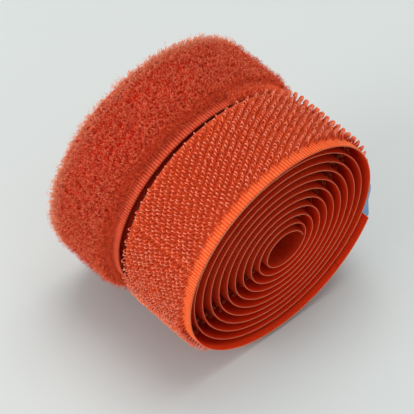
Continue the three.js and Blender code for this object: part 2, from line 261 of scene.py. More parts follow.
class Winding:
    """The centre line of a wound tape: an even spiral about an eye that lies a little off the roll's
    axis, with its inner end sprung out and its outer turn drawn in, placed by the free end's hinge."""

    def __init__(self, tape, roll, hinge):
        self.tape, self.roll = tape, roll
        self.web_face = tape.web_thickness / 2
        self.tail_root = tape.turns - self.turns_along(tape.turns, tape.tail_length)
        self.axis = Vector(hinge)
        root = self.raised(self.tail_root, self.web_face)
        self.axis.x -= root.x
        self.axis.z -= root.z
        self.turns = np.linspace(0, tape.turns, PATH_POINTS)
        self.points = [self.axis + self.raised(turn, 0) for turn in self.turns]
        steps = [(b - a).length for a, b in zip(self.points, self.points[1:])]
        self.lengths = np.concatenate([[0], np.cumsum(steps)])

    def flat(self, turn):
        """A point of the centre line from the roll's axis, in the roll's plane."""
        tape = self.tape
        bearing = tape.inner_end_angle + turn * math.tau
        spring = max(0, 1 - turn / tape.inner_end_turns)
        drawn = max(0, turn - (tape.turns - 1))
        radius = tape.eye_radius + self.roll.pitch * turn
        radius += tape.inner_end_spring * spring ** 2 - self.roll.end_draw * drawn ** 2
        drift = 1 - turn / tape.turns
        x = radius * math.cos(bearing) + tape.eye_shift_x * drift
        z = radius * math.sin(bearing) + tape.eye_shift_z * drift
        return Vector((x, 0, z))

    def outward(self, turn, reach=1e-4):
        """The way out of the roll, square to the web."""
        forward = self.flat(turn + reach) - self.flat(turn - reach)
        return Vector((forward.z, 0, -forward.x)).normalized()

    def raised(self, turn, height):
        """A point above the web's centre line, from the roll's axis, with the turn's shift along it."""
        point = self.flat(turn) + self.outward(turn) * height
        point.y = self.shift(turn)
        return point

    def shift(self, turn):
        """How far a turn has moved along the axis: by the lean of the roll and the slip of its end."""
        roll, place = self.roll, self.flat(turn)
        share = min(1, max(0, 1 - (self.tape.turns - turn) / roll.end_slip_turns))
        leaning = math.cos(roll.lean_angle) * place.x + math.sin(roll.lean_angle) * place.z
        return roll.lean_slope * leaning - roll.end_slip * share ** 2 * (3 - 2 * share)

    def turns_along(self, turn, distance):
        """How much of a turn a short distance along the tape takes up."""
        return distance / (math.tau * self.flat(turn).length)

    def length_at(self, turn):
        """How far along the tape a turn lies."""
        return float(np.interp(turn, self.turns, self.lengths))

    def point_at(self, distance):
        """The point of the centre line at a distance along the tape."""
        return self.axis + self.raised(float(np.interp(distance, self.lengths, self.turns)), 0)

    def mesh(self):
        """The centre line as a chain of edges, for node trees to follow."""
        path = bpy.data.meshes.new("tape path")
        edges = [(i, i + 1) for i in range(len(self.points) - 1)]
        path.from_pydata(self.points, edges, [])
        return path

    @property
    def outer(self):
        """Where the outer turn's hooks or pile start, clear of the step under the tape's end."""
        return self.length_at(self.tape.turns - 1) + self.tape.step_clearance

    @property
    def end(self):
        """The tape's whole length."""
        return float(self.lengths[-1])

    @property
    def split(self):
        """Where the roll's pieces end and the free end's begin, along the tape."""
        return self.length_at(self.tail_root) - self.tape.bend_before

    @property
    def bend(self):
        """The two points between which the free end bends away from the roll."""
        bent = self.tape.bend_before + self.tape.bend_after
        return self.point_at(self.split), self.point_at(self.split + bent)


def hook_winding(rolls):
    """The hook tape's centre line."""
    return Winding(rolls.tape, rolls.hook, HINGES["hook_tail_lift"])


def loop_winding(rolls):
    """The loop tape's centre line."""
    return Winding(rolls.tape, rolls.loop, HINGES["loop_tail_lift"])


def add_node(tree, kind, inputs=None, **settings):
    """Adds a node with its settings, then sets each input or links it to a node or an output."""
    node = tree.nodes.new(kind)
    for name, value in settings.items():
        setattr(node, name, value)
    enabled = [socket for socket in node.inputs if socket.enabled]
    for key, value in (inputs or {}).items():
        socket = enabled[key] if isinstance(key, int) else next(s for s in enabled if s.name == key)
        if isinstance(value, bpy.types.Node):
            value = next(s for s in value.outputs if s.enabled)
        if isinstance(value, bpy.types.NodeSocket):
            tree.links.new(value, socket)
        else:
            socket.default_value = value
    return node


def new_tree(name, sizes):
    """A node tree that takes a tape's path and the named sizes, and the outputs of its input node."""
    tree = bpy.data.node_groups.new(name, "GeometryNodeTree")
    tree.interface.new_socket("Path", in_out="INPUT", socket_type="NodeSocketGeometry")
    for label, kind in sizes.items():
        tree.interface.new_socket(label, in_out="INPUT", socket_type="NodeSocket" + kind)
    tree.interface.new_socket("Material", in_out="INPUT", socket_type="NodeSocketMaterial")
    tree.interface.new_socket("Geometry", in_out="OUTPUT", socket_type="NodeSocketGeometry")
    return tree, add_node(tree, "NodeGroupInput").outputs


def close_tree(tree, geometry, material):
    """Makes a tree's result real, presses it flat where the roll lies on the floor, and gives it its
    material."""
    real = add_node(tree, "GeometryNodeRealizeInstances", {"Geometry": geometry})
    place = add_node(tree, "GeometryNodeInputPosition")
    # Only the height is held, since nothing lies a metre out to the side
    above = add_node(tree, "ShaderNodeVectorMath", {0: place, 1: (-1, -1, 0)}, operation="MAXIMUM")
    pressed = add_node(tree, "GeometryNodeSetPosition", {"Geometry": real, "Position": above})
    smooth = add_node(tree, "GeometryNodeSetShadeSmooth", {"Geometry": pressed})
    coated = add_node(tree, "GeometryNodeSetMaterial", {"Geometry": smooth, "Material": material})
    add_node(tree, "NodeGroupOutput", {"Geometry": coated})
    return tree


def along_path(tree, path, distance):
    """Where a distance along the tape lies: the point, the way forward and the way out of the roll."""
    curve = add_node(tree, "GeometryNodeMeshToCurve", {"Mesh": path})
    at = add_node(
        tree, "GeometryNodeSampleCurve", {"Curves": curve, "Length": distance},
        mode="LENGTH", use_all_curves=True)
    forward = at.outputs["Tangent"]
    outward = add_node(
        tree, "ShaderNodeVectorMath", {0: (0, 1, 0), 1: forward}, operation="CROSS_PRODUCT")
    return at.outputs["Position"], forward, outward


def beside_path(tree, point, outward, height, across):
    """The point at a height above the path and a distance across the tape."""
    lift = add_node(
        tree, "ShaderNodeVectorMath", {"Vector": outward, "Scale": height}, operation="SCALE")
    aside = add_node(tree, "ShaderNodeCombineXYZ", {"Y": across})
    lifted = add_node(tree, "ShaderNodeVectorMath", {0: point, 1: lift}, operation="ADD")
    return add_node(tree, "ShaderNodeVectorMath", {0: lifted, 1: aside}, operation="ADD")


def strip_tree():
    """A strip wound along the path: a ring drawn out along it, squared to the strip's section, with
    ribs across it and a grain on its outer face."""
    tree, size = new_tree("wound strip", {
        "From": "Float", "To": "Float", "Steps": "Int", "Ring Points": "Int", "Width": "Float",
        "Across": "Float", "Height": "Float", "Thickness": "Float", "Squareness": "Vector",
        "Underside": "Float", "Rib Pitch": "Float", "Rib Depth": "Float", "Grain Size": "Float",
        "Grain Depth": "Float"})
    ring = add_node(tree, "GeometryNodeMeshCylinder", {
        "Vertices": size["Ring Points"], "Side Segments": size["Steps"], "Radius": 1.0, "Depth": 1.0})
    place = add_node(tree, "GeometryNodeInputPosition")
    share = add_node(tree, "ShaderNodeSeparateXYZ", {"Vector": place}).outputs["Z"]
    distance = add_node(tree, "ShaderNodeMapRange", {
        "Value": share, "From Min": -0.5, "From Max": 0.5, "To Min": size["From"], "To Max": size["To"]})
    point, _, outward = along_path(tree, size["Path"], distance)
    # The ring's section
    bare = add_node(tree, "ShaderNodeVectorMath", {0: place}, operation="ABSOLUTE")
    swollen = add_node(tree, "ShaderNodeVectorMath", {0: bare, 1: size["Squareness"]}, operation="POWER")
    sign = add_node(tree, "ShaderNodeVectorMath", {0: place}, operation="SIGN")
    section = add_node(tree, "ShaderNodeVectorMath", {0: swollen, 1: sign}, operation="MULTIPLY")
    section = add_node(tree, "ShaderNodeSeparateXYZ", {"Vector": section}).outputs
    level = add_node(
        tree, "ShaderNodeMath", {0: section["Y"], 1: size["Underside"]}, operation="MAXIMUM")
    # The weft ribs
    ribs = add_node(tree, "ShaderNodeMath", {0: distance, 1: size["Rib Pitch"]}, operation="DIVIDE")
    phase = add_node(tree, "ShaderNodeMath", {0: ribs, 1: math.tau}, operation="MULTIPLY")
    wave = add_node(tree, "ShaderNodeMath", {0: phase}, operation="COSINE")
    rib = add_node(tree, "ShaderNodeMath", {0: wave, 1: size["Rib Depth"]}, operation="MULTIPLY")
    depth = add_node(
        tree, "ShaderNodeMath", {0: size["Thickness"], 1: 0.5, 2: rib}, operation="MULTIPLY_ADD")
    height = add_node(
        tree, "ShaderNodeMath", {0: level, 1: depth, 2: size["Height"]}, operation="MULTIPLY_ADD")
    breadth = add_node(tree, "ShaderNodeMath", {0: size["Width"], 1: 0.5}, operation="MULTIPLY")
    aside = add_node(tree, "ShaderNodeMath", {0: section["X"], 1: breadth}, operation="MULTIPLY")
    across = add_node(tree, "ShaderNodeMath", {0: size["Across"], 1: aside}, operation="SUBTRACT")
    smooth = beside_path(tree, point, outward, height, across)
    # The grain of the outer face
    fineness = add_node(tree, "ShaderNodeMath", {0: 1.0, 1: size["Grain Size"]}, operation="DIVIDE")
    noise = add_node(tree, "ShaderNodeTexNoise", {"Vector": smooth, "Scale": fineness, "Detail": 3.0})
    grain = add_node(tree, "ShaderNodeMath", {0: noise.outputs["Fac"], 1: 0.5}, operation="SUBTRACT")
    grain = add_node(tree, "ShaderNodeMath", {0: grain, 1: size["Grain Depth"]}, operation="MULTIPLY")
    outside = add_node(tree, "ShaderNodeMath", {0: section["Y"], 1: 0.0}, operation="MAXIMUM")
    grain = add_node(tree, "ShaderNodeMath", {0: grain, 1: outside}, operation="MULTIPLY")
    bump = add_node(tree, "ShaderNodeVectorMath", {"Vector": outward, "Scale": grain}, operation="SCALE")
    # What the materials read: how far along and across the tape, and which face
    reading = add_node(tree, "ShaderNodeCombineXYZ", {"X": distance, "Y": across, "Z": section["Y"]})
    marked = add_node(tree, "GeometryNodeStoreNamedAttribute", {
        "Geometry": ring.outputs["Mesh"], "Name": "tape", "Value": reading}, data_type="FLOAT_VECTOR")
    toned = add_node(tree, "GeometryNodeStoreNamedAttribute", {
        "Geometry": marked, "Name": "tone", "Value": noise.outputs["Fac"]}, data_type="FLOAT")
    wound = add_node(tree, "GeometryNodeSetPosition", {
        "Geometry": toned, "Position": smooth, "Offset": bump})
    return close_tree(tree, wound, size["Material"])


def bent_rod(tree, shape, size, thickness, sides, steps):
    """A thin rod along one bend, its four control points given in shares of a size, that carries how far
    up it each of its points lies."""
    points = [
        add_node(tree, "ShaderNodeVectorMath", {0: control, 1: size}, operation="MULTIPLY")
        for control in shape]
    controls = dict(zip(("Start", "Start Handle", "End Handle", "End"), points))
    bend = add_node(tree, "GeometryNodeCurvePrimitiveBezierSegment", {"Resolution": steps, **controls})
    radius = add_node(tree, "ShaderNodeMath", {0: thickness, 1: 0.5}, operation="MULTIPLY")
    section = add_node(tree, "GeometryNodeCurvePrimitiveCircle", {"Resolution": sides, "Radius": radius})
    rod = add_node(tree, "GeometryNodeCurveToMesh", {
        "Curve": bend.outputs["Curve"], "Profile Curve": section.outputs["Curve"], "Fill Caps": True})
    place = add_node(tree, "GeometryNodeInputPosition")
    share = add_node(tree, "ShaderNodeVectorMath", {0: place, 1: size}, operation="DIVIDE")
    level = add_node(tree, "ShaderNodeSeparateXYZ", {"Vector": share}).outputs["Z"]
    return add_node(tree, "GeometryNodeStoreNamedAttribute", {
        "Geometry": rod, "Name": "level", "Value": level}, data_type="FLOAT")


def scatter(tree, points, shape, outward, forward, swing, seed, **choice):
    """Sets a shape upright on each point, swung at random, and marks each copy with its own tone."""
    upright = add_node(
        tree, "FunctionNodeAxesToRotation", {"Primary Axis": outward, "Secondary Axis": forward},
        primary_axis="Z", secondary_axis="X")
    swing_seed, tone_seed = (
        add_node(tree, "ShaderNodeMath", {0: seed, 1: added}, operation="ADD")
        for added in (SWING_SEED, TONE_SEED))
    angles = add_node(tree, "FunctionNodeRandomValue", {
        "Min": [-most for most in swing], "Max": swing, "Seed": swing_seed}, data_type="FLOAT_VECTOR")
    turn = add_node(tree, "FunctionNodeEulerToRotation", {"Euler": angles})
    rotation = add_node(tree, "FunctionNodeRotateRotation", {
        "Rotation": upright, "Rotate By": turn}, rotation_space="LOCAL")
    copies = add_node(tree, "GeometryNodeInstanceOnPoints", {
        "Points": points, "Instance": shape, "Rotation": rotation, **choice})
    tone = add_node(tree, "FunctionNodeRandomValue", {"Min": 0.0, "Max": 1.0, "Seed": tone_seed})
    return add_node(
        tree, "GeometryNodeStoreNamedAttribute", {"Geometry": copies, "Name": "tone", "Value": tone},
        data_type="FLOAT", domain="INSTANCE")


def hook_tree():
    """Rows of hooks on the tape's outer face, each stepped across by a quarter of a column, with every
    other column facing the other way."""
    tree, size = new_tree("hook rows", {
        "From": "Float", "Rows": "Int", "Row Pitch": "Float", "Columns": "Int", "Column Pitch": "Float",
        "First Column": "Float", "Seat": "Float", "Height": "Float", "Reach": "Float",
        "Filament": "Float", "Seed": "Int"})
    total = add_node(tree, "ShaderNodeMath", {0: size["Rows"], 1: size["Columns"]}, operation="MULTIPLY")
    index = add_node(tree, "GeometryNodeInputIndex")
    row = add_node(tree, "ShaderNodeMath", {0: index, 1: size["Columns"]}, operation="DIVIDE")
    row = add_node(tree, "ShaderNodeMath", {0: row}, operation="FLOOR")
    column = add_node(tree, "ShaderNodeMath", {0: index, 1: size["Columns"]}, operation="FLOORED_MODULO")
    odd = add_node(tree, "ShaderNodeMath", {0: column, 1: 2.0}, operation="FLOORED_MODULO")
    distance = add_node(tree, "ShaderNodeMath", {
        0: row, 1: size["Row Pitch"], 2: size["From"]}, operation="MULTIPLY_ADD")
    # Three quarters of a column on is a quarter back
    step = add_node(tree, "ShaderNodeMath", {0: row, 1: 0.75}, operation="MULTIPLY")
    step = add_node(tree, "ShaderNodeMath", {0: step, 1: 1.0}, operation="FLOORED_MODULO")
    place = add_node(tree, "ShaderNodeMath", {0: column, 1: step}, operation="ADD")
    across = add_node(tree, "ShaderNodeMath", {
        0: place, 1: size["Column Pitch"], 2: size["First Column"]}, operation="MULTIPLY_ADD")
    point, _, outward = along_path(tree, size["Path"], distance)
    seat = beside_path(tree, point, outward, size["Seat"], across)
    points = add_node(tree, "GeometryNodePoints", {"Count": total, "Position": seat})
    facing = add_node(tree, "ShaderNodeMath", {0: odd, 1: -2.0, 2: 1.0}, operation="MULTIPLY_ADD")
    facing = add_node(tree, "ShaderNodeCombineXYZ", {"Y": facing})
    # A loop of filament that was cut open near its far foot
    full_size = add_node(tree, "ShaderNodeCombineXYZ", {
        "X": size["Reach"], "Y": size["Reach"], "Z": size["Height"]})
    arch = ((-0.5, 0, 0), (-0.62, 0.05, 1.3), (0.66, 0.05, 1.32), (0.52, 0, 0.42))
    stub = ((0.5, 0, 0), (0.51, 0, 0.08), (0.52, 0, 0.16), (0.54, 0, 0.24))
    arch = bent_rod(tree, arch, full_size, size["Filament"], sides=4, steps=7)
    stub = bent_rod(tree, stub, full_size, size["Filament"], sides=4, steps=1)
    shape = add_node(tree, "GeometryNodeJoinGeometry", {"Geometry": arch})
    tree.links.new(stub.outputs["Geometry"], shape.inputs["Geometry"])
    # No two hooks are quite alike, nor quite upright
    smallest, largest, swing = (0.8, 0.8, 0.86), (1.2, 1.2, 1.02), (0.15, 0.12, 0.4)
    uneven = add_node(tree, "FunctionNodeRandomValue", {
        "Min": smallest, "Max": largest, "Seed": size["Seed"]}, data_type="FLOAT_VECTOR")
    copies = scatter(tree, points, shape, outward, facing, swing, size["Seed"], Scale=uneven)
    return close_tree(tree, copies, size["Material"])


def pile_tree():
    """Loops and loose ends of fibre, scattered over a stretch of the tape's outer face."""
    tree, size = new_tree("pile", {
        "From": "Float", "To": "Float", "Front": "Float", "Rear": "Float", "Count": "Int",
        "Seat": "Float", "Height": "Float", "Curl": "Float", "Fibre": "Float", "Edge": "Float",
        "Seed": "Int"})
    across_seed, luck_seed = (
        add_node(tree, "ShaderNodeMath", {0: size["Seed"], 1: added}, operation="ADD")
        for added in (ACROSS_SEED, LUCK_SEED))
    distance = add_node(tree, "FunctionNodeRandomValue", {
        "Min": size["From"], "Max": size["To"], "Seed": size["Seed"]})
    across = add_node(tree, "FunctionNodeRandomValue", {
        "Min": size["Front"], "Max": size["Rear"], "Seed": across_seed})
    point, forward, outward = along_path(tree, size["Path"], distance)
    # Loops are shorter and stand lower at the front, where the pile thins out over the selvedge
    stunted = 0.4
    inside = add_node(tree, "ShaderNodeMath", {0: across, 1: size["Front"]}, operation="SUBTRACT")
    grown = add_node(tree, "ShaderNodeMapRange", {
        "Value": inside, "From Max": size["Edge"], "To Min": stunted}, interpolation_type="SMOOTHSTEP")
    lift = add_node(tree, "ShaderNodeMath", {0: size["Seat"], 1: grown}, operation="MULTIPLY")
    seat = beside_path(tree, point, outward, lift, across)
    points = add_node(tree, "GeometryNodePoints", {"Count": size["Count"], "Position": seat})
    reading = add_node(tree, "ShaderNodeCombineXYZ", {"X": distance, "Y": across})
    points = add_node(tree, "GeometryNodeStoreNamedAttribute", {
        "Geometry": points, "Name": "tape", "Value": reading}, data_type="FLOAT_VECTOR")
    smallest, largest, swing = 0.75, 1.2, (0.5, 0.5, math.pi)
    luck = add_node(tree, "FunctionNodeRandomValue", {
        "Min": smallest, "Max": largest, "Seed": luck_seed})
    scale = add_node(tree, "ShaderNodeMath", {0: grown, 1: luck}, operation="MULTIPLY")
    # A closed loop, a leaning one and a loose end
    full_size = add_node(tree, "ShaderNodeCombineXYZ", {
        "X": size["Curl"], "Y": size["Curl"], "Z": size["Height"]})
    shapes = (
        ((-0.5, 0, 0), (-0.9, 0.3, 1.25), (0.8, -0.4, 1.3), (0.4, 0.2, 0.2)),
        ((0, 0, 0), (0.3, 0.5, 1.15), (1.2, -0.2, 1.2), (0.9, 0.4, 0.35)),
        ((0, 0, 0), (-0.4, 0.1, 0.6), (0.7, 0.5, 1.0), (0.2, -0.5, 1.02)),
    )
    bundle = add_node(tree, "GeometryNodeJoinGeometry")
    for shape in shapes:
        fibre = bent_rod(tree, shape, full_size, size["Fibre"], sides=3, steps=4)
        single = add_node(tree, "GeometryNodeGeometryToInstance", {"Geometry": fibre})
        tree.links.new(single.outputs["Instances"], bundle.inputs["Geometry"])
    pick = add_node(tree, "FunctionNodeRandomValue", {
        "Min": 0, "Max": len(shapes) - 1, "Seed": luck_seed}, data_type="INT")
    copies = scatter(
        tree, points, bundle, outward, forward, swing, size["Seed"],
        **{"Pick Instance": True, "Instance Index": pick, "Scale": scale})
    return close_tree(tree, copies, size["Material"])


def shared_tree(name, build):
    """A node tree by its name, built when it is first needed."""
    return bpy.data.node_groups.get(name) or build()


def grow(name, winding, tree, material, sizes):
    """Runs a node tree on a tape's path and keeps the result as a plain mesh."""
    piece = bpy.data.objects.new(name, winding.mesh())
    bpy.context.scene.collection.objects.link(piece)
    modifier = piece.modifiers.new(tree.name, "NODES")
    modifier.node_group = tree
    given = {**sizes, "Material": material}
    for socket in tree.interface.items_tree:
        if socket.in_out == "INPUT" and socket.name in given:
            modifier[socket.identifier] = given[socket.name]
    depsgraph = bpy.context.evaluated_depsgraph_get()
    mesh = bpy.data.meshes.new_from_object(piece.evaluated_get(depsgraph), depsgraph=depsgraph)
    mesh.name = name
    piece.modifiers.clear()
    path, piece.data = piece.data, mesh
    bpy.data.meshes.remove(path)
    if not mesh.polygons:
        raise RuntimeError(f"{name} came out empty")
    return piece


def new_material(name):
    """A material with its shader, and the node tree that they sit in."""
    material = bpy.data.materials.new(name)
    material.use_nodes = True
    return material, material.node_tree, material.node_tree.nodes["Principled BSDF"]


def set_sockets(shader, **values):
    """Sets a shader's plain values by their names, with _ for a space."""
    for name, value in values.items():
        shader.inputs[name.replace("_", " ")].default_value = value


def let_light_through(tree, shader, tint, share):
    """Passes a share of the light on through a thin body in its own colour."""
    passed = add_node(tree, "ShaderNodeBsdfTranslucent", {"Color": tint})
    both = add_node(tree, "ShaderNodeMixShader", {0: share, 1: shader, 2: passed})
    tree.links.new(both.outputs[0], tree.nodes["Material Output"].inputs["Surface"])


def woven_nylon(rolls, side):
    """Woven nylon web of one of the two tapes: close weft ribs with a soft sheen, with painted shade in
    the grooves and painted light on the crowns, and a painted highlight along the selvedges for the
    light that their yarns catch and let through. Painted shade also darkens the web among the hooks'
    roots, between the turns, on its back and in the eye."""
    name = f"woven nylon of the {side} tape"
    if name in bpy.data.materials:
        return bpy.data.materials[name]
    material, tree, shader = new_material(name)
    finish, tape = rolls.finish, rolls.tape
    groove, crown = (getattr(finish, f"{side}_rib_{part}") for part in ("groove", "crown"))
    reading = add_node(tree, "ShaderNodeAttribute", attribute_name="tape")
    place = add_node(tree, "ShaderNodeSeparateXYZ", {"Vector": reading.outputs["Vector"]}).outputs
    # Weft ribs and fainter warp yarns along the tape, with painted shade in the grooves and painted
    # light on the crowns, and a dye that took unevenly in spots of 1.6 mm
    waves = []
    for axis, pitch in (("X", getattr(rolls, side).rib_pitch), ("Y", tape.yarn_pitch)):
        phase = add_node(
            tree, "ShaderNodeMath", {0: place[axis], 1: math.tau / pitch}, operation="MULTIPLY")
        waves.append(add_node(tree, "ShaderNodeMath", {0: phase}, operation="COSINE"))
    rib, yarn = waves
    weave = add_node(tree, "ShaderNodeMath", {0: yarn, 1: 0.3, 2: rib}, operation="MULTIPLY_ADD")
    spots = add_node(tree, "ShaderNodeTexCoord")
    worn = add_node(tree, "ShaderNodeTexNoise", {
        "Vector": spots.outputs["Object"], "Scale": 1 / (1.6 * MM), "Detail": 4.0})
    uneven = add_node(tree, "ShaderNodeMath", {
        0: worn.outputs["Fac"], 1: 1.8, 2: weave}, operation="MULTIPLY_ADD")
    raised = add_node(tree, "ShaderNodeMapRange", {"Value": uneven, "From Min": -0.5, "From Max": 2.0})
    tint = add_node(tree, "ShaderNodeMix", {
        "Factor": raised, "A": (*groove, 1), "B": (*crown, 1)}, data_type="RGBA")
    # Painted shade: darker among the hooks' roots, which the hooks shade, and between the turns, where
    # shade falls into the gaps
    half, winding = tape.width / 2, hook_winding(rolls)
    root, outer = rolls.hook.front_selvedge - half, winding.length_at(tape.turns - 1)
    hook_shade_share, edge_highlight_share = (0.6, 0.9) if side == "hook" else (0, 0.4)
    under = add_node(tree, "ShaderNodeMapRange", {
        "Value": place["Y"], "From Min": root - 0.4 * MM, "From Max": root + 0.6 * MM, "To Max": hook_shade_share})
    # Painted shade on the inner turns, fading out over the 8 mm before the outer turn
    deep = add_node(tree, "ShaderNodeMapRange", {
        "Value": place["X"], "From Min": outer - 8 * MM, "From Max": outer,
        "To Min": 0.8, "To Max": 0.0})
    # Painted shade and red bounce light on the back of the web, the face that looks into the roll,
    # deepest over the first turn in the eye
    inside = add_node(tree, "ShaderNodeMapRange", {
        "Value": place["Z"], "From Min": -0.2, "From Max": -0.6, "To Max": 0.85})
    # Painted shade in the eye: strongest up to 0.8 of a turn, gone by 1.4 turns
    shade_full_to, shade_gone_from = (winding.length_at(turn) for turn in (0.8, 1.4))
    eye = add_node(tree, "ShaderNodeMapRange", {
        "Value": place["X"], "From Min": shade_full_to, "From Max": shade_gone_from, "To Min": 0.7, "To Max": 0.0})
    back = add_node(tree, "ShaderNodeMix", {
        "Factor": eye, "A": (*finish.shaded_web_back, 1), "B": (*finish.eye, 1)}, data_type="RGBA")
    # Painted highlight along the selvedges, a tenth of a millimetre wide, for the light that the edges
    # catch and let through; fainter on the loop tape
    beside = add_node(tree, "ShaderNodeMath", {0: place["Y"]}, operation="ABSOLUTE")
    edge = add_node(tree, "ShaderNodeMapRange", {
        "Value": beside, "From Min": half - 0.14 * MM, "From Max": half - 0.02 * MM, "To Max": edge_highlight_share})
    layers = (
        (under, (*finish.shaded_ground, 1)), (deep, (*finish.wound, 1)), (inside, back.outputs[2]),
        (edge, (*finish.selvedge, 1)))
    for share, shown in layers:
        tint = add_node(tree, "ShaderNodeMix", {
            "Factor": share, "A": tint.outputs[2], "B": shown}, data_type="RGBA")
    tree.links.new(tint.outputs[2], shader.inputs["Base Color"])
    bump = add_node(tree, "ShaderNodeBump", {"Height": uneven, "Strength": 0.6, "Distance": 0.03 * MM})
    tree.links.new(bump.outputs["Normal"], shader.inputs["Normal"])
    set_sockets(shader, Roughness=0.6, Specular_IOR_Level=0.06, Subsurface_Weight=0.6,
                Subsurface_Radius=(1, 0.3, 0.12), Subsurface_Scale=0.9 * MM)
    return material


def nylon_monofilament(rolls):
    """Nylon monofilament: smooth drawn rods with pale crowns, a painted highlight, and painted shade, a
    deeper red, down at the web."""
    name = "nylon monofilament"
    if name in bpy.data.materials:
        return bpy.data.materials[name]
    material, tree, shader = new_material(name)
    finish = rolls.finish
    tone, level = (
        add_node(tree, "ShaderNodeAttribute", attribute_name=label).outputs["Fac"]
        for label in ("tone", "level"))
    crown = add_node(tree, "ShaderNodeMix", {
        "Factor": tone, "A": (*finish.filament, 1), "B": (*finish.filament_pale, 1)}, data_type="RGBA")
    # Painted highlight on the crowns and painted shade towards the roots
    raised = add_node(tree, "ShaderNodeMapRange", {"Value": level, "From Min": 0.4, "From Max": 0.95})
    tint = add_node(tree, "ShaderNodeMix", {
        "Factor": raised, "A": (*finish.filament_root_shade, 1), "B": crown.outputs[2]}, data_type="RGBA")
    tree.links.new(tint.outputs[2], shader.inputs["Base Color"])
    set_sockets(shader, Roughness=0.6, Specular_IOR_Level=0.1, Subsurface_Weight=0.3,
                Subsurface_Radius=(1, 0.4, 0.3), Subsurface_Scale=0.3 * MM)
    return material


def brushed_pile(rolls):
    """Brushed nylon pile: matte tangled loops, with painted shade, a deep red, between them and in the
    mat, and painted light at their pale tips, so that it pales towards its outline like velvet."""
    name = "brushed nylon pile"
    if name in bpy.data.materials:
        return bpy.data.materials[name]
    material, tree, shader = new_material(name)
    finish = rolls.finish
    tone, level = (
        add_node(tree, "ShaderNodeAttribute", attribute_name=label).outputs["Fac"]
        for label in ("tone", "level"))
    # Painted light and shade: loops pale with their height and deep red low down, each in a tone of its
    # own, in tufts of 0.8 mm
    spots = add_node(tree, "ShaderNodeTexCoord")
    tuft = add_node(tree, "ShaderNodeTexNoise", {
        "Vector": spots.outputs["Object"], "Scale": 1 / (0.8 * MM), "Detail": 4.0}).outputs["Fac"]
    raised = add_node(tree, "ShaderNodeMath", {0: tone, 1: 0.9, 2: level}, operation="MULTIPLY_ADD")
    mixed = add_node(tree, "ShaderNodeMath", {0: tuft, 1: 0.7, 2: raised}, operation="MULTIPLY_ADD")
    pale = add_node(tree, "ShaderNodeMapRange", {"Value": mixed, "From Min": 1.3, "From Max": 1.95})
    # The mat that the loops stand on is tufted too, in tone and in grain
    clear = add_node(tree, "ShaderNodeMapRange", {"Value": level, "From Max": 0.1})
    matted = add_node(tree, "ShaderNodeMath", {0: 1.0, 1: clear}, operation="SUBTRACT")
    tangle = add_node(tree, "ShaderNodeMapRange", {
        "Value": tuft, "From Min": 0.5, "From Max": 0.75, "To Max": 0.5})
    tangle = add_node(tree, "ShaderNodeMath", {0: tangle, 1: matted}, operation="MULTIPLY")
    pale = add_node(tree, "ShaderNodeMath", {0: pale, 1: tangle}, operation="MAXIMUM")
    tint = add_node(tree, "ShaderNodeMix", {
        "Factor": pale, "A": (*finish.pile_deep_shade, 1), "B": (*finish.pile, 1)}, data_type="RGBA")
    # Painted light along the pile's edges: a pale rim at the rear, where light would pass the thin pile,
    # and a brighter orange at the front, where the mat's edge lies in shade
    reading = add_node(tree, "ShaderNodeAttribute", attribute_name="tape")
    place = add_node(tree, "ShaderNodeSeparateXYZ", {"Vector": reading.outputs["Vector"]}).outputs
    rear, brightest_rim = rolls.tape.width / 2, 0.9
    front = rolls.loop.front_selvedge - rear
    rear_rim_light = add_node(tree, "ShaderNodeMapRange", {
        "Value": place["Y"], "From Min": rear - 4.5 * MM, "From Max": rear - 1.5 * MM,
        "To Max": brightest_rim})
    rear_rim_light = add_node(tree, "ShaderNodeMath", {0: rear_rim_light, 1: clear}, operation="MULTIPLY")
    # Painted light on the front of the pile, where it lies in shade
    thin_front = add_node(tree, "ShaderNodeMapRange", {
        "Value": place["Y"], "From Min": front + 1 * MM, "From Max": front + 4 * MM,
        "To Min": 0.6, "To Max": 0.0})
    for share, shown in ((rear_rim_light, finish.pile_rim_light), (thin_front, finish.pile_front_light)):
        tint = add_node(tree, "ShaderNodeMix", {
            "Factor": share, "A": tint.outputs[2], "B": (*shown, 1)}, data_type="RGBA")
    tree.links.new(tint.outputs[2], shader.inputs["Base Color"])
    bump = add_node(tree, "ShaderNodeBump", {"Height": tuft, "Strength": matted, "Distance": 0.8 * MM})
    tree.links.new(bump.outputs["Normal"], shader.inputs["Normal"])
    sheen = add_node(tree, "ShaderNodeMapRange", {
        "Value": rear_rim_light, "From Max": brightest_rim, "To Min": 0.3})
    tree.links.new(sheen.outputs[0], shader.inputs["Sheen Weight"])
    set_sockets(shader, Roughness=0.9, Specular_IOR_Level=0.0, Sheen_Roughness=0.5,
                Sheen_Tint=(1, 0.4, 0.25, 1))
    return material


def polypropylene_film(rolls):
    """Polypropylene film: thin, smooth and a little see-through, with faint creases of 3 mm from its
    pressing on."""
    material, tree, shader = new_material("polypropylene film")
    tint = (*rolls.finish.film, 1)
    spots = add_node(tree, "ShaderNodeTexCoord")
    crease = add_node(tree, "ShaderNodeTexNoise", {
        "Vector": spots.outputs["Object"], "Scale": 1 / (3 * MM), "Detail": 2.0}).outputs["Fac"]
    bump = add_node(tree, "ShaderNodeBump", {"Height": crease, "Strength": 0.4, "Distance": 0.2 * MM})
    tree.links.new(bump.outputs["Normal"], shader.inputs["Normal"])
    roughness = add_node(tree, "ShaderNodeMapRange", {
        "Value": crease, "From Min": 0.3, "From Max": 0.7, "To Min": 0.18, "To Max": 0.3})
    tree.links.new(roughness.outputs[0], shader.inputs["Roughness"])
    set_sockets(shader, Base_Color=tint, IOR=1.49)
    let_light_through(tree, shader, tint, share=0.75)
    return material


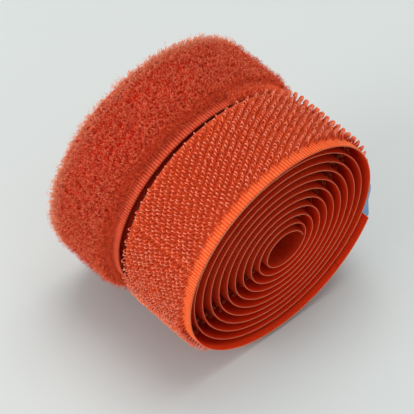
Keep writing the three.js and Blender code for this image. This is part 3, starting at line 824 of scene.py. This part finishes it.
def matte_paper(rolls):
    """Matte paper floor: pale and even, with only a trace of fibre, in clouds of 60 mm."""
    material, tree, shader = new_material("matte paper")
    pale, shade = rolls.finish.floor, 0.97
    spots = add_node(tree, "ShaderNodeTexCoord")
    fibre = add_node(tree, "ShaderNodeTexNoise", {
        "Vector": spots.outputs["Object"], "Scale": 1 / (60 * MM), "Detail": 2.0}).outputs["Fac"]
    tint = add_node(tree, "ShaderNodeMix", {
        "Factor": fibre, "A": (*[part * shade for part in pale], 1), "B": (*pale, 1)}, data_type="RGBA")
    tree.links.new(tint.outputs[2], shader.inputs["Base Color"])
    set_sockets(shader, Roughness=0.9)
    return material


def strip(name, winding, material, start, stop, sizes):
    """A wound strip between two distances along the tape."""
    given = {"From": start, "To": stop, "Across": 0.0, "Underside": -1.0, "Rib Pitch": 0.0,
             "Rib Depth": 0.0, "Grain Size": 0.0, "Grain Depth": 0.0, **sizes}
    return grow(name, winding, shared_tree("wound strip", strip_tree), material, given)


def web(name, winding, material, start, stop, rib_pitch):
    """A woven web with three facets to a weft rib."""
    tape, facets = winding.tape, 3
    return strip(name, winding, material, start, stop, {
        "Steps": round((stop - start) / rib_pitch * facets), "Ring Points": 12, "Width": tape.width,
        "Height": 0.0, "Thickness": tape.web_thickness, "Squareness": (0.25, 0.25, 1),
        "Rib Pitch": rib_pitch, "Rib Depth": tape.rib_depth})


def build_web(rolls, winding, side):
    """A roll's web and its free end."""
    material, rib_pitch = woven_nylon(rolls, side), getattr(rolls, side).rib_pitch
    wound = web(f"{side}_web_wound", winding, material, 0.0, winding.split, rib_pitch)
    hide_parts(f"{side}_web")
    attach(wound, f"{side}_roll")
    tail = web(f"{side}_web_tail", winding, material, winding.split, winding.end, rib_pitch)
    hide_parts(f"{side}_tail_web")
    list(winding.bend)
    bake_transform(tail)


def hooks(name, rolls, winding, start, stop, first, columns, pitch, height, seed):
    """Rows of hooks between two distances along the tape, on some of its columns, from the first rib
    on."""
    hook = rolls.hook
    front = -rolls.tape.width / 2 + hook.front_selvedge
    begin = math.ceil(start / hook.rib_pitch) * hook.rib_pitch
    piece = grow(name, winding, shared_tree("hook rows", hook_tree), nylon_monofilament(rolls), {
        "From": begin, "Rows": int((stop - begin) / pitch), "Row Pitch": pitch, "Columns": columns,
        "Column Pitch": hook.column_pitch, "First Column": front + first * hook.column_pitch,
        "Seat": winding.web_face * 0.5, "Height": height, "Reach": hook.reach, "Filament": hook.filament,
        "Seed": seed})
    return piece


def build_hooks(rolls):
    """The hooks of the outer turn and its free end, and those that show between the inner turns."""
    winding = hook_winding(rolls)
    tape, hook, seal = rolls.tape, rolls.hook, rolls.seal
    field = tape.width - hook.front_selvedge - hook.rear_selvedge
    columns = int(field / hook.column_pitch) + 1
    outer, split, end = winding.outer, winding.split, winding.end
    hidden = outer - tape.tail_length
    sealed = outer + seal.bridge + seal.lap_on_roll
    middle = (sealed + split) / 2
    standing = (hook.row_pitch, hook.height)
    flattened = (hook.row_pitch, hook.inner_height)
    inner = (hook.inner_row_pitch, hook.inner_height)
    piece = hooks("hooks_outer_first", rolls, winding, sealed, middle, 0, columns, *standing, seed=1)
    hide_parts("hook_field_1", "hook_field_2")
    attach(piece, "hook_roll")
    piece = hooks("hooks_outer_second", rolls, winding, middle, split, 0, columns, *standing, seed=5)
    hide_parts("hook_field_3")
    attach(piece, "hook_roll")
    piece = hooks("hooks_free_end", rolls, winding, split, end, 0, columns, *standing, seed=2)
    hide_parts("hook_tail_hooks")
    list(winding.bend)
    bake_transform(piece)
    piece = hooks("hooks_under_film", rolls, winding, hidden, sealed, 0, columns, *flattened, seed=6)
    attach(piece, "hook_roll")
    piece = hooks("hooks_inner_front", rolls, winding, 0.0, hidden, 0.5, 2, *inner, seed=3)
    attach(piece, "hook_roll")
    piece = hooks("hooks_inner_rear", rolls, winding, 0.0, hidden, columns - 1, 1, *inner, seed=4)
    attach(piece, "hook_roll")


def pile_mat(name, rolls, winding, start, stop, height):
    """The tangled lower part of the pile, as a grained strip on the web's outer face."""
    tape, loop, facet = rolls.tape, rolls.loop, 0.4 * MM
    front = loop.front_selvedge + loop.thin_front
    piece = strip(name, winding, brushed_pile(rolls), start, stop, {
        "Steps": round((stop - start) / facet), "Ring Points": 90, "Width": tape.width - front,
        "Across": front / 2, "Height": winding.web_face * 0.5, "Thickness": 2 * height,
        "Squareness": (0.4, 1.4, 1), "Underside": 0.0, "Grain Size": 0.6 * MM, "Grain Depth": 1.2 * MM})
    return piece


def pile_fibres(name, rolls, winding, start, stop, count, seed, **changes):
    """Loops of fibre that stand out of the mat, from two thirds of its height on."""
    tape, loop = rolls.tape, rolls.loop
    sunk = loop.mat_height * 0.65
    piece = grow(name, winding, shared_tree("pile", pile_tree), brushed_pile(rolls), {
        "From": start, "To": stop, "Front": -tape.width / 2 + loop.front_selvedge,
        "Rear": tape.width / 2 - loop.rear_selvedge, "Count": count, "Seat": winding.web_face + sunk,
        "Height": loop.height - sunk, "Curl": loop.curl, "Fibre": loop.fibre,
        "Edge": 2 * loop.thin_front, "Seed": seed, **changes})
    return piece


def build_pile(rolls):
    """The pile round the outer turn and on its free end, and what is pressed between the inner turns."""
    winding = loop_winding(rolls)
    tape, loop = rolls.tape, rolls.loop
    outer, split, end, on_web = winding.outer, winding.split, winding.end, winding.web_face
    mat = pile_mat("pile_mat", rolls, winding, outer, split, loop.mat_height)
    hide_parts("loop_pile")
    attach(mat, "loop_roll")
    for part in range(loop.pieces):
        piece = pile_fibres(
            f"pile_loops_{part + 1}", rolls, winding, outer, split, loop.fibres_per_piece,
            seed=10 + part)
        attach(piece, "loop_roll")
    # Loops that the other roll's hooks have drawn over the selvedge, for a quarter of a turn
    edge = -tape.width / 2
    root = edge + loop.front_selvedge
    first, last = (winding.length_at(tape.turns - 1 + share) for share in (0.02, 0.28))
    caught = pile_fibres(
        "pile_caught_loops", rolls, winding, first, last, loop.caught, seed=40, Front=edge - 0.4 * MM,
        Rear=root + 1.5 * MM, Edge=0.4 * MM, Seat=on_web, Height=loop.caught_height)
    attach(caught, "loop_roll")
    # Short loops along the front, over the edge of the mat
    fringe = pile_fibres(
        "pile_fringe", rolls, winding, outer, split, loop.fringe, seed=41, Front=root - 0.2 * MM,
        Rear=root + 2.2 * MM, Edge=1.4 * MM, Seat=on_web, Height=loop.fringe_height)
    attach(fringe, "loop_roll")
    hairs = pile_fibres(
        "pile_stray_hairs", rolls, winding, outer, split, loop.hairs, seed=42, Fibre=loop.hair,
        Curl=2 * loop.curl, Seat=on_web + loop.mat_height, Height=loop.hair_height)
    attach(hairs, "loop_roll")
    beneath = pile_fibres(
        "pile_under_tail", rolls, winding, outer - tape.tail_length, outer, loop.flattened, seed=43,
        Seat=on_web + 0.9 * MM, Height=loop.flattened_height)
    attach(beneath, "loop_roll")
    # The free end has as many loops to its length as the turn
    tail_mat = pile_mat("pile_tail_mat", rolls, winding, split, end, loop.mat_height)
    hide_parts("loop_tail_pile")
    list(winding.bend)
    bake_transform(tail_mat)
    share = (end - split) / (split - outer)
    fibres = round(share * loop.pieces * loop.fibres_per_piece)
    tail = pile_fibres("pile_tail_loops", rolls, winding, split, end, fibres, seed=30)
    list(winding.bend)
    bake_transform(tail)
    # Between the turns the pile is pressed to a felt, from just past the inner end on
    start, facet = 4 * MM, 0.5 * MM
    pressed = strip("pile_pressed", winding, brushed_pile(rolls), start, outer, {
        "Steps": round((outer - start) / facet), "Ring Points": 16,
        "Width": tape.width - loop.front_selvedge - loop.rear_selvedge,
        "Across": (loop.front_selvedge - loop.rear_selvedge) / 2,
        "Height": on_web + loop.pressed_height / 2, "Thickness": loop.pressed_height,
        "Squareness": (0.4, 0.4, 1), "Grain Size": 0.8 * MM, "Grain Depth": 0.3 * MM})
    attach(pressed, "loop_roll")


def build_seal(rolls):
    """The film over the end of the hook tape: on the free end's hooks, across the step, and on the
    hooks of the turn beneath."""
    winding = hook_winding(rolls)
    tape, seal = rolls.tape, rolls.seal
    rows, columns, edge_curve = 17, 25, 8
    heights = (rolls.hook.height + seal.clearance, rolls.hook.inner_height + seal.clearance / 2)
    landing = tape.turns - 1 + winding.turns_along(tape.turns - 1, seal.bridge)
    laps = ((tape.turns - winding.turns_along(tape.turns, seal.lap_on_tail), seal.lap_on_tail),
            (landing, seal.lap_on_roll))
    route = []
    for (first, lap), height in zip(laps, heights):
        last = first + winding.turns_along(first, lap)
        for turn in np.linspace(first, last, rows):
            point = winding.raised(turn, winding.web_face + height)
            point.y = winding.shift(tape.turns)
            route.append((point, winding.outward(turn)))
    vertices, faces = [], []
    for i, (point, outward) in enumerate(route):
        for k in range(columns):
            across = (k / (columns - 1) - 0.5) * seal.width
            sunk = seal.sag * abs(2 * across / seal.width) ** edge_curve
            vertices.append(winding.axis + point + Vector((0, across, 0)) - outward * sunk)
            if i and k:
                here = i * columns + k
                faces.append((here - columns - 1, here - columns, here, here - 1))
    mesh = bpy.data.meshes.new("end_film")
    mesh.from_pydata(vertices, [], faces)
    mesh.shade_smooth()
    film = bpy.data.objects.new("end_film", mesh)
    bpy.context.scene.collection.objects.link(film)
    film.modifiers.new("film", "SOLIDIFY").thickness = seal.thickness
    film.modifiers["film"].offset = 1
    mesh.materials.append(polypropylene_film(rolls))
    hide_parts("end_seal")
    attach(film, "end_seal")


def add_lamp(name, place, target, side, power, tint):
    """A square area lamp that faces a point."""
    lamp = bpy.data.lights.new(name, "AREA")
    lamp.size, lamp.energy, lamp.color = side, power, tint
    holder = bpy.data.objects.new(name, lamp)
    holder.location = place
    holder.rotation_euler = (Vector(target) - Vector(place)).to_track_quat("-Z", "Y").to_euler()
    bpy.context.scene.collection.objects.link(holder)


def build_stage(rolls):
    """The floor, the sky, the lamps and the camera."""
    scene, stage = bpy.context.scene, rolls.stage
    half = stage.floor_size / 2
    corners = [(x * half, y * half, 0) for x, y in ((-1, -1), (1, -1), (1, 1), (-1, 1))]
    mesh = bpy.data.meshes.new("floor")
    mesh.from_pydata(corners, [], [(0, 1, 2, 3)])
    mesh.materials.append(matte_paper(rolls))
    floor = bpy.data.objects.new("floor", mesh)
    scene.collection.objects.link(floor)
    scene.world = bpy.data.worlds.new("studio")
    scene.world.use_nodes = True
    sky = scene.world.node_tree.nodes["Background"]
    set_sockets(sky, Color=(*rolls.finish.sky, 1), Strength=stage.sky_strength)
    target = Vector((stage.target_x, 0, stage.target_z))
    warm, white = (1, 0.98, 0.95), (1, 1, 1)
    add_lamp("large lamp", stage.lamp_place, target, stage.lamp_side, stage.lamp_power, warm)
    add_lamp("left lamp", stage.fill_place, target, stage.fill_side, stage.fill_power, white)
    azimuth, elevation = stage.azimuth, stage.elevation
    back = Vector((math.sin(azimuth) * math.cos(elevation), -math.cos(azimuth) * math.cos(elevation),
                   math.sin(elevation)))
    right = Vector((math.cos(azimuth), math.sin(azimuth), 0))
    up = back.cross(right)
    cosine, sine = math.cos(stage.roll), math.sin(stage.roll)
    axes = Matrix((right * cosine - up * sine, right * sine + up * cosine, back)).transposed()
    camera = bpy.data.objects.new("camera", bpy.data.cameras.new("camera"))
    camera.data.lens = stage.focal_length
    camera.matrix_world = Matrix.Translation(target + back * stage.distance) @ axes.to_4x4()
    scene.collection.objects.link(camera)
    scene.camera = camera
    scene.view_settings.view_transform = "Standard"


class MakeHookWeb(bpy.types.Operator):
    """Winds the hook roll's woven web"""

    bl_idname = "tape_rolls.hook_web"
    bl_label = "Hook web"

    def execute(self, context):
        rolls = context.scene.tape_rolls
        build_web(rolls, hook_winding(rolls), "hook")
        return {"FINISHED"}


class MakeHooks(bpy.types.Operator):
    """Sets the hooks on the hook roll's web"""

    bl_idname = "tape_rolls.hooks"
    bl_label = "Hooks"

    def execute(self, context):
        build_hooks(context.scene.tape_rolls)
        return {"FINISHED"}


class MakeLoopWeb(bpy.types.Operator):
    """Winds the loop roll's woven web"""

    bl_idname = "tape_rolls.loop_web"
    bl_label = "Loop web"

    def execute(self, context):
        rolls = context.scene.tape_rolls
        build_web(rolls, loop_winding(rolls), "loop")
        return {"FINISHED"}


class MakePile(bpy.types.Operator):
    """Raises the pile on the loop roll's web"""

    bl_idname = "tape_rolls.pile"
    bl_label = "Pile"

    def execute(self, context):
        build_pile(context.scene.tape_rolls)
        return {"FINISHED"}


class MakeEndSeal(bpy.types.Operator):
    """Lays the film over the hook tape's free end"""

    bl_idname = "tape_rolls.end_seal"
    bl_label = "End seal"

    def execute(self, context):
        build_seal(context.scene.tape_rolls)
        return {"FINISHED"}


class MakeStage(bpy.types.Operator):
    """Sets up the floor, the light and the camera"""

    bl_idname = "tape_rolls.stage"
    bl_label = "Stage"

    def execute(self, context):
        build_stage(context.scene.tape_rolls)
        return {"FINISHED"}


OPERATORS = (MakeStage, MakeHookWeb, MakeHooks, MakeLoopWeb, MakePile, MakeEndSeal)


class TapeRollsPanel(bpy.types.Panel):
    """Lists the pieces of the tape rolls"""

    bl_idname = "VIEW3D_PT_tape_rolls"
    bl_label = "Tape rolls"
    bl_space_type = "VIEW_3D"
    bl_region_type = "UI"
    bl_category = "Tape rolls"

    def draw(self, context):
        for operator in OPERATORS:
            self.layout.operator(operator.bl_idname)


GROUPS = (TapeSizes, HookSizes, LoopSizes, SealSizes, Finishes, StageSizes, TapeRolls)


def register():
    """Adds the sizes, the operators and the panel."""
    for item in (*GROUPS, *OPERATORS, TapeRollsPanel):
        bpy.utils.register_class(item)
    bpy.types.Scene.tape_rolls = PointerProperty(type=TapeRolls)


def unregister():
    """Takes them away again."""
    del bpy.types.Scene.tape_rolls
    for item in reversed((*GROUPS, *OPERATORS, TapeRollsPanel)):
        bpy.utils.unregister_class(item)


def main():
    """Builds the whole scene."""
    register()
    bpy.ops.tape_rolls.stage()
    bpy.ops.tape_rolls.hook_web()
    bpy.ops.tape_rolls.hooks()
    bpy.ops.tape_rolls.loop_web()
    bpy.ops.tape_rolls.pile()
    bpy.ops.tape_rolls.end_seal()


if __name__ == "__main__":
    main()
